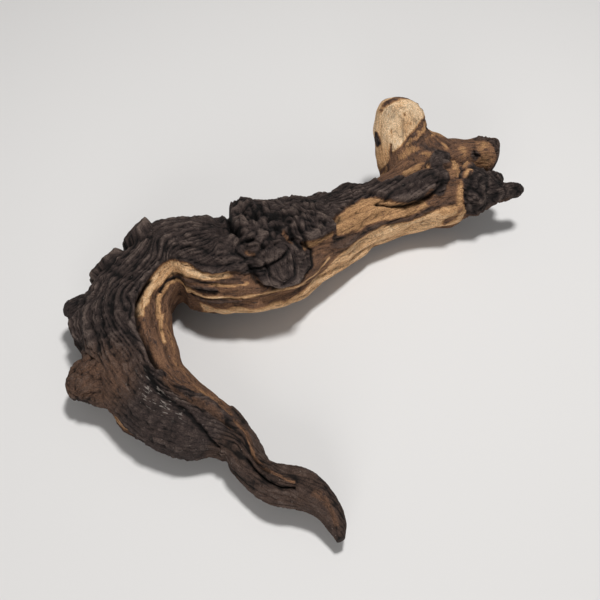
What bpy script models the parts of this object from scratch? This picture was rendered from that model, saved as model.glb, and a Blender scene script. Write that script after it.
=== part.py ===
"""A dry two-tone root, grown as one piece.

Seen from above it is a hook: a thin tail at the front runs up and to the left, thickens into a
leg, turns through a broad arch and goes on as a knobbly trunk to the back right, where it ends in
a pale upright paddle, a blunt knob and a dark burl with a finger.
Sizes are in millimetres here and become metres when a mesh is made. +Z is up and the root stands
on three low flats at z = 0.
"""
import math

import bmesh
import bpy
import numpy as np

NAME = "dry_root"
MM = 0.001

# The middle of the root's outline in plan, which the origin stands under: x, y.
MIDDLE = (5.0, -6.5)

# The body's ribs from the trunk's right end to the tail's tip: centre x, y, z, half width,
# half height, and the plan heading in degrees from the inner side to the outer side.
BODY = (
    (160, 139, 30, 12, 11, 112),
    (153, 138, 29, 23, 19, 112),
    (143, 135, 29, 31, 25, 110),
    (128, 128, 30, 36, 28, 108),
    (105, 119, 30, 33, 29, 112),
    (79, 107, 27, 29, 27, 118),
    (54, 95, 26, 28, 26, 121),
    (31, 78, 27, 30, 27, 121),
    (8, 62, 31, 36, 30, 118),
    (-19, 45, 36, 46, 34, 111),
    (-46, 38, 37, 50, 35, 106),
    (-70, 33, 34, 44, 32, 98),
    (-91, 36, 32, 39, 30, 98),
    (-108, 34, 31, 35, 29, 120),
    (-117, 25, 28, 29, 28, 142),
    (-125, 14, 27, 30, 27, 155),
    (-134, -3, 26, 34, 26, 170),
    (-135, -22, 26, 37, 26, 189),
    (-130, -41, 25, 35, 25, 204),
    (-121, -60, 24, 32, 23, 212),
    (-109, -81, 22, 31, 22, 219),
    (-93, -98, 22, 30, 22, 229),
    (-73, -109, 21, 25, 20, 237),
    (-57, -117, 19, 19, 16, 236),
    (-44, -126, 18, 14, 13, 224),
    (-36, -138, 18, 13, 13, 219),
    (-26, -149, 18, 12, 12, 230),
    (-14, -156, 19, 14, 13, 247),
    (-1, -159, 18, 13, 12, 250),
    (11, -165, 17, 11, 11, 232),
    (20, -174, 15, 8, 8, 213),
    (25, -184, 13, 6, 6, 205),
    (27, -192, 11, 3, 3, 203),
)
BODY_RINGS = 400
BODY_SIDES = 150

# Each limb: its rings (centre x, y, z, half width, half thickness), then the direction that its
# broad face looks in.
LIMBS = {
    "paddle": (
        ((108, 126, 32, 28, 18), (101, 140, 41, 26, 16), (95, 151, 50, 23, 14),
         (90, 160, 61, 21, 12), (87, 166, 73, 20, 10), (86, 170, 83, 18, 9),
         (86, 172, 89, 13, 7), (86, 173, 92, 6, 3)),
        (-0.30, -0.80, 0.52),
    ),
    "saddle": (
        ((98, 156, 44, 10, 10), (108, 156, 47, 14, 12), (120, 153, 44, 16, 14),
         (134, 152, 41, 17, 15), (148, 155, 42, 14, 13), (155, 156, 43, 6, 6)),
        (0.0, -0.5, 0.85),
    ),
    "blunt_knob": (
        ((126, 148, 38, 18, 16), (139, 155, 43, 17, 16), (151, 157, 46, 15, 14),
         (162, 159, 47, 15, 14), (171, 159, 47, 14, 13), (177, 159, 46, 7, 7)),
        (0.0, -0.4, 0.9),
    ),
    "dark_burl": (
        ((136, 124, 29, 11, 11), (144, 123, 31, 16, 15), (152, 122, 32, 19, 17),
         (160, 121, 33, 19, 17), (168, 119, 35, 15, 14), (175, 118, 37, 10, 10),
         (183, 119, 38, 8, 8), (190, 121, 39, 6, 6), (195, 121, 40, 2, 2)),
        (0.0, -0.3, 0.95),
    ),
    "burl_bump": (
        ((160, 126, 34, 9, 9), (170, 132, 38, 8, 8), (177, 136, 40, 7, 7), (182, 138, 41, 3, 3)),
        (0.0, -0.3, 0.95),
    ),
    "heel": (
        ((-130, -60, 23, 24, 18), (-143, -67, 23, 23, 17), (-154, -71, 22, 21, 16),
         (-163, -73, 20, 18, 14), (-170, -74, 19, 14, 11), (-175, -74, 18, 6, 5)),
        (0.0, 0.0, 1.0),
    ),
    "left_knob": (
        ((-150, -14, 27, 18, 15), (-162, -11, 28, 13, 12), (-172, -8, 29, 10, 9),
         (-180, -8, 30, 8, 7), (-185, -8, 30, 3, 3)),
        (0.0, 0.0, 1.0),
    ),
}
LIMB_RINGS = 60
LIMB_SIDES = 72

# Raised parts of the bark, as outlines of (rib, angle round the rib), with their height and the
# width of their edge. On a rib the angle is 0 at the outer side, 90 on top, 180 at the inner side.
ISLANDS = {
    "arch bark": (
        ((24, 60), (22, 98), (19.5, 101), (18.3, 104), (17, 107), (16, 111), (15, 117), (14, 119),
         (13, 122), (12, 125), (11, 134), (10.3, 137), (10.0, 120), (10.2, 80), (10.2, 0),
         (14, -30), (19, -30), (24, -20)), 2.2, 2.5),
    "burl mass": (
        ((10.1, 30), (10.1, 90), (10.0, 112), (9.6, 118), (8.7, 114), (8.6, 122), (8.1, 126),
         (7.5, 122), (7.4, 108), (7.0, 97), (6.4, 92), (6.2, 70), (7.0, 30), (9, 20)), 3.6, 3.0),
    "thumb": (
        ((9.95, 138), (9.85, 152), (9.4, 161), (8.95, 160), (8.65, 148), (8.6, 134), (8.8, 124),
         (9.3, 122), (9.8, 128)), 5.5, 4.0),
    "eye plate": (
        ((5.9, 88), (5.5, 104), (5.2, 114), (4.9, 119), (4.4, 118), (4.0, 115), (3.6, 107),
         (3.7, 93), (4.2, 83), (4.8, 81), (5.5, 82)), 4.5, 2.5),
    "outer plate": (((15.7, -40), (15.8, 40), (14.2, 55), (14.0, -10), (14.6, -45)), 3.5, 4.0),
    "arch block": (((13.3, -20), (13.4, 60), (12.5, 70), (12.4, 0)), 3.5, 4.0),
}

# Furrows as courses of (rib, angle), with their width and depth.
FURROWS = {
    "bark groove": (((20, 109), (18.6, 107), (18, 106), (17, 108), (16.3, 111), (15.4, 118)), 4.0, 6.0),
    "notch": (((10.0, 0), (10.1, 40), (10.15, 70), (10.1, 90), (10.0, 100)), 6.0, 9.0),
    "thumb crack": (((10.0, 137), (9.6, 134), (9.2, 130), (9.0, 124)), 3.0, 4.0),
    "thumb ring": (
        ((10.05, 132), (10.0, 150), (9.5, 167), (8.9, 166), (8.5, 152), (8.4, 136), (8.6, 122)), 4.0, 3.5),
    "plate gap": (((5.6, 110), (5.3, 119), (4.9, 124), (4.3, 123), (3.8, 119), (3.4, 108)), 3.5, 4.5),
    "knob crack": (((4.1, 88), (3.8, 82), (3.4, 66)), 3.0, 3.5),
    "inner fold": (((16.4, 150), (15, 152), (14, 152), (13, 150), (12, 152), (10.4, 156)), 4.0, 4.0),
    "inner seam": (((17.6, 140), (16, 138), (14.5, 140), (12.6, 143), (11, 147)), 3.5, 2.0),
    "tail crack": (((25.2, 78), (26, 70), (26.6, 62), (27.3, 58), (27.9, 66)), 3.0, 3.5),
    "tail seam": (((23.2, 104), (24.2, 108), (25.4, 100), (26.4, 90)), 3.0, 2.0),
    "leg seam": (((19.8, 92), (20.8, 84), (21.8, 80), (22.8, 62), (23.6, 40)), 4.0, 3.0),
}

# Swellings and hollows: centre x, y, z, reach and height (hollows below zero).
SWELLINGS = (
    (-62, 72, 50, 9, -6),
    (-47, 58, 71, 5, -7),
    (-37, 46, 72, 5, -6),
    (-50, 50, 72, 5, -4),
    (-41, 44, 73, 5, 3),
    (-40, 92, 46, 12, 5),
    (-10, 92, 44, 12, 4),
    (16, 106, 40, 9, 4),
    (39, 116, 40, 12, 5),
    (-105, 74, 40, 9, 3),
    (-146, 44, 30, 9, -6),
    (-172, 22, 28, 10, -5),
    (135, 108, 22, 9, 6),
    (142, 131, 58, 9, 4),
    (134, 136, 57, 5, -7),
    (178, 164, 52, 6, 4),
    (168, 170, 50, 6, 4),
    (160, 146, 46, 6, -4),
    (70, 150, 74, 7, 5),
    (-160, -98, 14, 9, -8),
    (-166, -50, 26, 8, -5),
    (-62, -132, 20, 8, -5),
)

# Strands that run along the body, and the coarse unevenness of its skin.
STRAND_PITCH = 8.0
STRAND_LENGTH = 70.0
STRAND_DEPTH = 5.0
KNOBBLE_SIZE = 15.0
KNOBBLE_HEIGHT = 2.2
BURL_RIBS = (7.0, 10.4)
BURL_SIZE = 11.0
BURL_HEIGHT = 2.6
ARCH_RIBS = (10.8, 22.0)
ARCH_PITCH = 9.0
ARCH_DEPTH = 2.6

# The last steps of the skin.
VOXEL = 1.7
SMOOTHING = 0.3
TRIANGLES = 11500

# The three low flats that the root stands on: centre x, y and reach. They are let down below the
# lowest point of the rest, and only what lies under FOOT_ROOM follows them.
FEET = ((-94, -103, 12), (106, 118, 12), (-119, 37, 12))
FOOT_DROP = 1.5
FOOT_PRESS = 0.6
FOOT_ROOM = 20.0
FLOOR_GAP = 0.4


def noise(points, seed):
    """Smooth noise from -1 to 1: one value at each whole-number corner, blended between them."""
    corner = np.floor(points).astype(np.int64)
    part = points - corner
    part = part * part * (3.0 - 2.0 * part)
    total = np.zeros(points.shape[:-1])
    for step in np.ndindex(2, 2, 2):
        cell = corner + step
        mixed = cell[..., 0] * 374761393 + cell[..., 1] * 668265263 + cell[..., 2] * 40503
        mixed = (mixed + seed * 69069) & 0xFFFFFFFF
        mixed = ((mixed ^ (mixed >> 13)) * 1274126177) & 0xFFFFFFFF
        mixed = (mixed ^ (mixed >> 16)) & 0xFFFFFFFF
        weight = np.prod(np.where(step, part, 1.0 - part), axis=-1)
        total += weight * (mixed / 2.0**31 - 1.0)
    return total


def through(rows, count):
    """Rows read off a smooth curve that passes through every given row (Catmull-Rom)."""
    rows = np.asarray(rows, float)
    padded = np.vstack([2 * rows[0] - rows[1], rows, 2 * rows[-1] - rows[-2]])
    at = np.linspace(0.0, len(rows) - 1.0, count)
    first = np.minimum(at.astype(int), len(rows) - 2)
    t = (at - first)[:, None]
    a, b, c, d = (padded[first + k] for k in range(4))
    return 0.5 * (2 * b + (c - a) * t + (2 * a - 5 * b + 4 * c - d) * t**2
                  + (3 * b - a - 3 * c + d) * t**3)


def unit(vectors):
    """The same directions, one unit long."""
    return vectors / np.linalg.norm(vectors, axis=-1, keepdims=True)


def distance_to(course, place):
    """How far each place lies from a course of straight stretches."""
    best = np.full(place.shape[:-1], np.inf)
    for start, end in zip(course[:-1], course[1:]):
        step = end - start
        share = np.clip(((place - start) @ step) / (step @ step), 0.0, 1.0)
        best = np.minimum(best, np.linalg.norm(place - start - share[..., None] * step, axis=-1))
    return best


def is_inside(outline, place):
    """Whether each place lies inside a closed outline, by counting the sides that it is left of."""
    inside = np.zeros(place.shape[:-1], bool)
    for start, end in zip(outline, np.roll(outline, -1, axis=0)):
        spans = (start[1] > place[..., 1]) != (end[1] > place[..., 1])
        rise = end[1] - start[1] if end[1] != start[1] else 1.0
        meets = start[0] + (place[..., 1] - start[1]) / rise * (end[0] - start[0])
        inside ^= spans & (place[..., 0] < meets)
    return inside


def ease(share):
    """A soft step: 0 below 0, 1 above 1, and an even curve between."""
    share = np.clip(share, 0.0, 1.0)
    return share * share * (3.0 - 2.0 * share)


def strands(angle, reach, along, seed):
    """Folded noise that is long along a limb and narrow round it, from about -0.3 to 0.7."""
    turn_x = np.cos(angle) * reach
    turn_y = np.sin(angle) * reach
    drift = noise(np.stack([turn_x / 40, turn_y / 40, along / 45], axis=-1), seed) * 0.6
    place = np.stack([turn_x / STRAND_PITCH + drift, turn_y / STRAND_PITCH - drift,
                      along / STRAND_LENGTH], axis=-1)
    return np.abs(noise(place, seed + 1)) - 0.3


def swellings(points):
    """The height that the swellings and hollows add at each point."""
    height = np.zeros(points.shape[:-1])
    for x, y, z, size, lift in SWELLINGS:
        gap = np.linalg.norm(points - (x, y, z), axis=-1)
        height += lift * np.exp(-((gap / size) ** 2))
    return height


def bark_relief(rib, angle, reach, along, ribs_along):
    """The height of islands and furrows. Both are laid out on the skin unrolled to millimetres."""
    height = np.zeros(rib.shape)
    place_of = {}
    for name, (points, size, depth) in {**FURROWS, **ISLANDS}.items():
        points = np.asarray(points, float)
        middle = np.interp(points[:, 0].mean(), rib[:, 0], reach[:, 0])
        place = np.stack([along, np.radians(angle) * middle], axis=-1)
        course = np.stack([np.interp(points[:, 0], rib[:, 0], ribs_along),
                           np.radians(points[:, 1]) * middle], axis=-1)
        if name in ISLANDS:
            lift, edge = size, depth
            closed = np.vstack([course, course[:1]])
            gap = distance_to(closed, place)
            gap = np.where(is_inside(course, place), gap, -gap)
            height += lift * ease(gap / edge + 0.5)
        else:
            gap = distance_to(course, place)
            height -= depth * np.exp(-((2.0 * gap / size) ** 2))
    return height


def closed_tube(name, rings):
    """One closed mesh from rings of points, with a single point at each end."""
    count, sides = rings.shape[:2]
    ends = np.stack([rings[0].mean(axis=0), rings[-1].mean(axis=0)])
    points = np.vstack([rings.reshape(-1, 3), ends]) * MM
    ring, side = np.meshgrid(np.arange(count - 1), np.arange(sides), indexing="ij")
    after = (side + 1) % sides
    quads = np.stack([ring * sides + side, ring * sides + after,
                      (ring + 1) * sides + after, (ring + 1) * sides + side], axis=-1).reshape(-1, 4)
    last = (count - 1) * sides
    loop = np.arange(sides)
    turned = (loop + 1) % sides
    near = np.stack([np.full(sides, count * sides), turned, loop], axis=-1)
    far = np.stack([np.full(sides, count * sides + 1), last + loop, last + turned], axis=-1)
    mesh = bpy.data.meshes.new(name)
    mesh.from_pydata(points.tolist(), [], quads.tolist() + near.tolist() + far.tolist())
    build = bmesh.new()
    build.from_mesh(mesh)
    bmesh.ops.recalc_face_normals(build, faces=build.faces)
    build.to_mesh(mesh)
    build.free()
    return mesh


def limb_rings(centre, wide, high, angle):
    """Points round every ring: an ellipse on the half axes wide and high."""
    out = np.cos(angle)[None, :, None] * wide[:, None] + np.sin(angle)[None, :, None] * high[:, None]
    return centre[:, None] + out, unit(out)


def length_along(centre):
    """The length of the path up to each ring."""
    steps = np.linalg.norm(np.diff(centre, axis=0), axis=1)
    return np.concatenate([[0.0], np.cumsum(steps)])


def body_mesh():
    """The body: its ribs stand upright, so one half axis is level and the other is +Z."""
    rows = through(BODY, BODY_RINGS)
    heading = np.radians(rows[:, 5])
    level = np.stack([np.cos(heading), np.sin(heading), np.zeros(BODY_RINGS)], axis=-1)
    wide = level * rows[:, 3:4]
    high = np.array([0.0, 0.0, 1.0]) * rows[:, 4:5]
    angle = np.linspace(-90.0, 270.0, BODY_SIDES, endpoint=False)
    points, outward = limb_rings(rows[:, :3], wide, high, np.radians(angle))
    whole = np.ones((BODY_RINGS, BODY_SIDES))
    rib = np.linspace(0.0, len(BODY) - 1.0, BODY_RINGS)[:, None] * whole
    reach = ((rows[:, 3] + rows[:, 4]) / 2.0)[:, None] * whole
    along = length_along(rows[:, :3])[:, None] * whole
    turn = angle[None, :] * whole
    burl = ease(rib - BURL_RIBS[0]) * ease(BURL_RIBS[1] + 0.5 - rib)
    burl = burl * ease((turn - 20.0) / 20.0) * ease((130.0 - turn) / 20.0)
    arch = ease(rib - ARCH_RIBS[0]) * ease((ARCH_RIBS[1] - rib) / 2.0)
    arch = arch * ease((turn + 40.0) / 30.0) * ease((125.0 - turn) / 15.0)
    drift = noise(np.stack([along / 40, turn / 50, 0 * rib], axis=-1), 7)
    fold = np.abs(np.sin(math.pi * (np.radians(turn) * reach / ARCH_PITCH + 1.3 * drift))) - 0.6
    slim = np.clip(reach / 22.0, 0.1, 1.0)
    height = slim * (
        ARCH_DEPTH * arch * fold
        + STRAND_DEPTH * strands(np.radians(turn), reach, along, 2) * (1.0 - 0.7 * np.maximum(burl, arch))
        + KNOBBLE_HEIGHT * noise(points / KNOBBLE_SIZE, 4)
        + BURL_HEIGHT * burl * (1.0 - 2.2 * np.abs(noise(points / BURL_SIZE, 5)))
    )
    height = height + bark_relief(rib, turn, reach, along, along[:, 0]) + swellings(points)
    return closed_tube("body", points + outward * height[..., None])


def limb_mesh(name, seed):
    """A limb: its rings stand square to its path, with the broad face turned the given way."""
    rings, face = LIMBS[name]
    rows = through(rings, LIMB_RINGS)
    centre = rows[:, :3]
    ahead = unit(np.gradient(centre, axis=0))
    sideways = unit(np.cross(ahead, np.asarray(face, float)))
    square = np.cross(sideways, ahead)
    angle = np.linspace(0.0, 2 * math.pi, LIMB_SIDES, endpoint=False)
    points, outward = limb_rings(centre, sideways * rows[:, 3:4], square * rows[:, 4:5], angle)
    whole = np.ones((LIMB_RINGS, LIMB_SIDES))
    reach = rows[:, 3:4] * whole
    along = length_along(centre)[:, None] * whole
    slim = np.clip(reach / 22.0, 0.1, 1.0)
    height = slim * (0.5 * STRAND_DEPTH * strands(angle[None, :] * whole, reach, along, seed)
                     + KNOBBLE_HEIGHT * noise(points / (0.7 * KNOBBLE_SIZE), seed + 2))
    height = height + swellings(points)
    return closed_tube(name, points + outward * height[..., None])


def settle(item):
    """The item's mesh as its modifiers leave it, with the modifiers gone."""
    shown = item.evaluated_get(bpy.context.evaluated_depsgraph_get())
    mesh = bpy.data.meshes.new_from_object(shown)
    item.modifiers.clear()
    item.data = mesh


def grown_skin(root):
    """Lets the limbs grow into the body as one skin and brings it down to a light mesh."""
    remesh = root.modifiers.new("grow together", "REMESH")
    remesh.mode = "VOXEL"
    remesh.voxel_size = VOXEL * MM
    soften = root.modifiers.new("soften", "SMOOTH")
    soften.factor = SMOOTHING
    soften.iterations = 1
    settle(root)
    lighten = root.modifiers.new("lighten", "DECIMATE")
    root.data.calc_loop_triangles()
    lighten.ratio = TRIANGLES / len(root.data.loop_triangles)
    settle(root)


def stand(root):
    """Lets three feet down to one level below the rest and cuts them off flat, at z = 0."""
    mesh = root.data
    points = np.empty(len(mesh.vertices) * 3)
    mesh.vertices.foreach_get("co", points)
    points = points.reshape(-1, 3) / MM
    lowest = points[:, 2].min()
    level = lowest - FOOT_DROP
    for x, y, size in FEET:
        gap = np.hypot(points[:, 0] - x, points[:, 1] - y)
        under = points[:, 2] < FOOT_ROOM
        drop = points[under & (gap < size), 2].min() - level + FOOT_PRESS
        points[:, 2] -= np.where(under, drop * ease(2.0 - gap / size), 0.0)
    points[:, 2] = np.maximum(points[:, 2], level) - (lowest - FLOOR_GAP)
    points[:, :2] -= MIDDLE
    mesh.vertices.foreach_set("co", (points * MM).ravel())
    build = bmesh.new()
    build.from_mesh(mesh)
    everything = build.verts[:] + build.edges[:] + build.faces[:]
    bmesh.ops.bisect_plane(build, geom=everything, plane_co=(0, 0, 0), plane_no=(0, 0, 1),
                           clear_inner=True, dist=1e-6)
    rim = [edge for edge in build.edges if edge.is_boundary]
    bmesh.ops.holes_fill(build, edges=rim, sides=0)
    bmesh.ops.triangulate(build, faces=[face for face in build.faces if len(face.verts) > 3])
    bmesh.ops.recalc_face_normals(build, faces=build.faces)
    build.to_mesh(mesh)
    build.free()


def root_wood():
    """Weathered root wood: near-black rind over tan wood, here in its middle brown."""
    material = bpy.data.materials.new("root_wood")
    material.use_nodes = True
    shader = material.node_tree.nodes["Principled BSDF"]
    shader.inputs["Base Color"].default_value = (0.075, 0.046, 0.030, 1.0)
    shader.inputs["Roughness"].default_value = 0.85
    shader.inputs["Metallic"].default_value = 0.0
    return material


def main():
    for item in list(bpy.data.objects):
        bpy.data.objects.remove(item)
    group = bpy.data.collections.new(NAME)
    bpy.context.scene.collection.children.link(group)
    build = bmesh.new()
    build.from_mesh(body_mesh())
    for seed, name in enumerate(LIMBS):
        build.from_mesh(limb_mesh(name, 10 * seed + 20))
    mesh = bpy.data.meshes.new(NAME)
    build.to_mesh(mesh)
    build.free()
    root = bpy.data.objects.new(NAME, mesh)
    group.objects.link(root)
    grown_skin(root)
    stand(root)
    root.data.name = NAME
    root.data.materials.append(root_wood())
    root.data.shade_smooth()


main()
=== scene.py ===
"""The looks of a dry two-tone root: near-black ridged bark over tan wood.

The root is one body, laid out on upright ribs, with limbs that grow out of it. Each is a surface
worked out from two parameters: the place along its path and the angle round it. Sizes are in
millimetres until a mesh is made. Bark and bare wood are painted as outlines and courses on the
body, given as (rib, angle), and on the limbs as (share of the limb's rings, angle).
"""

import math

import bpy
import numpy as np
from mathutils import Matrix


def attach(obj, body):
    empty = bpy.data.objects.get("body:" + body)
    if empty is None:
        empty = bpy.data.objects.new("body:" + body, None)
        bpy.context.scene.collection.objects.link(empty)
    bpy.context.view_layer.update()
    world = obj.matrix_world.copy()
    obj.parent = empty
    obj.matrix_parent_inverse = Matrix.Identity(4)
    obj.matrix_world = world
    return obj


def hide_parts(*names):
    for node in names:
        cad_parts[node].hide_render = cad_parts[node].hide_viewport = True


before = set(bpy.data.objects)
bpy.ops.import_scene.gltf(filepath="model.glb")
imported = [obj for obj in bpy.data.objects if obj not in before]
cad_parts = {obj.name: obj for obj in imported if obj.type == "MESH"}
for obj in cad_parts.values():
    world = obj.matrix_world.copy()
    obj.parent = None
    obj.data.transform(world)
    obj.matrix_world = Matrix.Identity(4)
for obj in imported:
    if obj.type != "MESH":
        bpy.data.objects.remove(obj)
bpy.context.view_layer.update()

MM = 0.001

# The middle of the root's outline in plan, which the frame's origin stands under: x, y. The lift
# brings the lowest skin down to the floor as the three feet of the solid do.
MIDDLE = (5.0, -6.5)
LIFT = 1.3

# The body's ribs from the trunk's right end to the tail's tip: centre x, y, z, half width,
# half height, and the plan heading in degrees from the inner side to the outer side.
BODY = (
    (160, 142, 30, 9, 8, 112), (153, 141, 29, 17, 14, 112), (143, 138, 29, 26, 21, 110),
    (128, 128, 30, 36, 28, 108), (105, 119, 30, 33, 29, 112), (79, 107, 27, 29, 27, 118),
    (54, 95, 26, 28, 26, 121), (31, 78, 27, 30, 27, 121), (8, 62, 31, 36, 30, 118),
    (-19, 45, 36, 46, 34, 111), (-46, 38, 37, 50, 35, 106), (-70, 33, 34, 44, 32, 98),
    (-91, 36, 32, 39, 30, 98), (-108, 34, 31, 35, 29, 120), (-117, 25, 28, 29, 28, 142),
    (-125, 14, 27, 30, 27, 155), (-134, -3, 26, 34, 26, 170), (-135, -22, 26, 37, 26, 189),
    (-130, -41, 25, 35, 25, 204), (-121, -60, 24, 32, 23, 212), (-109, -81, 22, 31, 22, 219),
    (-93, -98, 22, 30, 22, 229), (-73, -109, 21, 25, 20, 237), (-57, -117, 19, 19, 16, 236),
    (-44, -126, 18, 14, 13, 224), (-36, -138, 18, 13, 13, 219), (-26, -149, 18, 12, 12, 230),
    (-14, -156, 19, 14, 13, 247), (-1, -159, 18, 13, 12, 250), (11, -165, 17, 11, 11, 232),
    (20, -174, 15, 8, 8, 213), (25, -184, 13, 6, 6, 205), (27, -192, 11, 3, 3, 203),
)
BODY_RINGS = 900
BODY_SIDES = 300

# The body is cut into sections so that each keeps a fine skin: first and last rib of each.
SECTIONS = {
    "root_trunk": (0, 8.4), "root_burl": (8.4, 13), "root_bend": (13, 19), "root_leg": (19, 25),
    "root_tail": (25, 32),
}
OVERLAP = (0.0, 0.05, 0.2, 0.5)

# Each limb: its rings (centre x, y, z, half width, half thickness), then the direction that its
# broad face looks in. Limbs and body grow together over the fillet's width, and how near one
# comes to another is found from about so many of its rings.
LIMBS = {
    "paddle": (
        ((108, 126, 32, 28, 18), (100, 140, 41, 28, 16), (94, 151, 50, 27, 14),
         (90, 160, 61, 25, 12), (88, 166, 73, 23, 10), (87.5, 170, 84, 20.5, 8),
         (87.5, 172, 90.5, 15.5, 6), (87.5, 173, 94, 7, 3)),
        (-0.30, -0.80, 0.52),
    ),
    "saddle": (
        ((98, 157, 48, 12, 10), (106, 158, 54, 16, 13), (117, 156, 50, 16, 14),
         (131, 153, 43, 15, 14), (146, 154, 42, 13, 12), (155, 155, 42, 6, 6)),
        (0.0, -0.5, 0.85),
    ),
    "blunt_knob": (
        ((126, 148, 38, 18, 16), (139, 154, 43, 16, 15), (151, 156, 45, 14, 13),
         (161, 156, 45, 15, 15), (168, 155.5, 45, 15, 15), (173, 155, 44.5, 13, 13),
         (176.5, 154.5, 44, 9, 9), (178, 154, 44, 3, 3)),
        (0.0, -0.4, 0.9),
    ),
    "dark_burl": (
        ((132, 121, 33, 12, 12), (139, 119, 36, 17, 17), (147, 118, 37, 20, 20),
         (155, 118, 37, 20, 20), (163, 117, 37, 16, 16), (170, 115, 38, 11, 11),
         (178, 115, 38, 8, 8), (185, 116, 39, 7, 7), (191, 117, 39, 6, 6), (195, 117, 39, 2, 2)),
        (0.0, -0.3, 0.95),
    ),
    "burl_bump": (
        ((160, 124, 34, 9, 9), (168, 129, 37, 8, 8), (174, 132, 38, 7, 7), (179, 134, 39, 3, 3)),
        (0.0, -0.3, 0.95),
    ),
    "heel": (
        ((-126, -58, 23, 32, 22), (-141, -66, 23, 28, 20), (-154, -71, 22, 23, 17),
         (-162, -72, 20, 18, 13), (-168, -73, 19, 14, 10), (-172, -73, 18, 6, 5)),
        (0.0, 0.0, 1.0),
    ),
    "left_knob": (
        ((-150, -16, 27, 20, 16), (-162, -13, 28, 17, 14), (-172, -11, 28, 14, 11),
         (-180, -10, 28, 10, 8), (-185, -11, 27, 4, 3)),
        (0.0, 0.0, 1.0),
    ),
}
LIMB_RINGS = 130
LIMB_SIDES = 180
FILLET = 9.0
GAP_RINGS = 90

# Raised parts of the bark, as outlines of (rib, angle), with their height and the width of
# their edge. On a rib the angle is 0 at the outer side, 90 on top, 180 at the inner side.
ISLANDS = {
    "arch bark": (
        ((24, 60), (22, 98), (19.5, 101), (18.3, 104), (17, 109), (16, 115), (15, 117), (14, 117),
         (13, 122), (12, 124), (11, 133), (10.3, 137), (10.1, 120), (10.32, 80), (10.32, 0),
         (14, -30), (19, -30), (24, -20)), 2.2, 2.0),
    "burl mass": (
        ((10.2, 30), (10.22, 90), (10.05, 112), (9.6, 118), (8.7, 114), (8.6, 122), (8.1, 126),
         (7.5, 122), (7.4, 108), (7.0, 97), (6.4, 92), (6.2, 70), (7.0, 30), (9, 20)), 3.6, 2.0),
    "thumb": (
        ((9.95, 138), (9.85, 152), (9.4, 161), (8.95, 160), (8.65, 148), (8.6, 134), (8.8, 124),
         (9.3, 122), (9.8, 128)), 5.5, 3.5),
    "eye plate": (
        ((5.9, 88), (5.6, 104), (5.4, 118), (5.0, 128), (4.6, 131), (4.2, 128), (3.8, 121),
         (3.6, 107), (3.7, 97), (4.2, 91), (4.8, 84), (5.5, 82)), 4.5, 1.8),
    "outer plate": (
        ((15.5, -40), (15.6, 20), (15.2, 42), (14.4, 38), (14.3, -10), (14.8, -45)), 7.0, 2.0),
    "arch block": (((14.0, -20), (14.05, 40), (13.5, 58), (13.0, 52), (12.95, 0)), 7.5, 2.0),
}

# Furrows as courses of (rib, angle), with their width and depth.
FURROWS = {
    "bark groove": (
        ((20, 107), (18.6, 105), (18, 106), (17, 110), (16.3, 115), (15.4, 118)), 3.2, 6.0),
    "notch": (((10.1, 0), (10.2, 40), (10.3, 70), (10.25, 90), (10.1, 100)), 5.0, 9.0),
    "beside the notch": (((10.5, 20), (10.52, 60), (10.5, 84)), 15.0, 11.0),
    "beside the plate": (((16.0, -20), (16.1, 10), (16.3, 44)), 15.0, 6.0),
    "thumb crack": (((10.0, 137), (9.6, 134), (9.2, 130), (9.0, 124)), 2.2, 4.0),
    "thumb ring": (
        ((10.05, 132), (10.0, 150), (9.5, 167), (8.9, 166), (8.5, 152), (8.4, 136),
         (8.6, 122)), 3.0, 3.5),
    "thumb fold": (
        ((9.66, 132), (9.63, 146), (9.33, 154), (9.05, 150), (8.92, 138), (8.9, 126)), 2.4, 2.6),
    "eye ring": (
        ((10.33, 116), (10.13, 124), (9.83, 124), (9.6, 116), (9.83, 108), (10.17, 108),
         (10.33, 116)), 2.4, 2.5),
    "eye hole": (((9.98, 109), (9.85, 109)), 4.0, 4.0),
    "hook": (((9.27, 94), (8.87, 88), (8.57, 90), (8.53, 108), (8.47, 126)), 2.6, 3.2),
    "inner hook": (((9.13, 102), (8.77, 100), (8.77, 114), (8.7, 126)), 2.4, 3.0),
    "ripple": (((9.8, 72), (9.77, 94)), 2.6, 2.6),
    "second ripple": (((9.5, 68), (9.55, 92)), 2.6, 2.6),
    "third ripple": (((9.2, 62), (9.32, 86)), 2.6, 2.6),
    "plate gap": (
        ((5.8, 116), (5.4, 127), (5.0, 134), (4.5, 137), (4.1, 133), (3.6, 122)), 3.0, 4.5),
    "knob crack": (((4.1, 88), (3.8, 82), (3.4, 66)), 2.5, 3.5),
    "inner fold": (
        ((15.6, 142), (14.6, 143), (14, 147), (13.3, 152), (12.8, 155), (12, 158),
         (11, 158)), 3.0, 3.6),
    "inner seam": (((17.6, 140), (16, 138), (14.5, 140), (12.6, 143), (11, 147)), 2.5, 1.6),
    "lower seam": (((13.2, 164), (12.4, 169), (11.6, 171), (10.4, 169)), 2.0, 2.0),
    "tail crack": (((25.2, 78), (26, 70), (26.6, 62), (27.3, 58), (27.9, 66)), 2.2, 3.5),
    "tail seam": (((23.2, 104), (24.2, 108), (25.4, 100), (26.4, 90)), 2.5, 2.0),
    "leg seam": (((19.8, 92), (20.8, 84), (21.8, 80), (22.8, 62), (23.6, 40)), 3.0, 3.0),
}

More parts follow.
